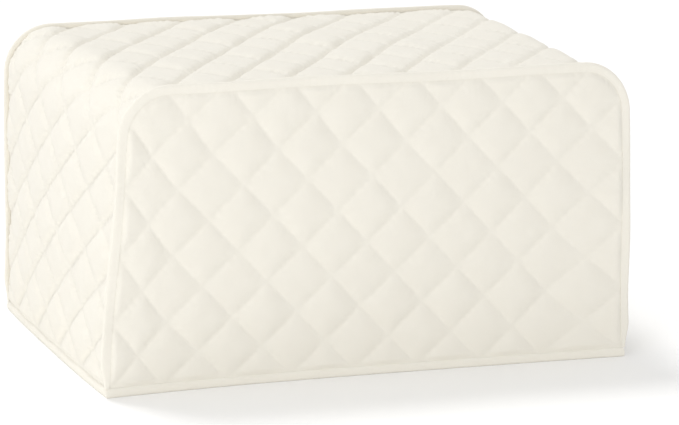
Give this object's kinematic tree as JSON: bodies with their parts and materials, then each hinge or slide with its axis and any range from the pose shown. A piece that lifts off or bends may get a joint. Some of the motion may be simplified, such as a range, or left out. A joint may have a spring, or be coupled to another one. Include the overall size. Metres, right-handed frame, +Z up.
{
  "type": "quilted appliance cover",
  "caption": "Ivory quilted cloth cover that drops over a countertop appliance, with bound seams that stand out and a bound hem.",
  "frame": {"origin": "on the surface the cover stands on, under the middle of the cover", "axes": "+Z up, -Y out of the front panel, +X to the right as the front is faced"},
  "size_m": [0.4466, 0.3086, 0.2437],
  "materials": {
    "quilted_cloth": "matte",
    "binding_tape": "matte"
  },
  "bodies": {
    "root": {"front_panel": "quilted_cloth", "back_panel": "quilted_cloth", "gusset": "quilted_cloth", "front_binding": "binding_tape", "back_binding": "binding_tape", "hem_binding": "binding_tape"}
  },
  "joints": []
}
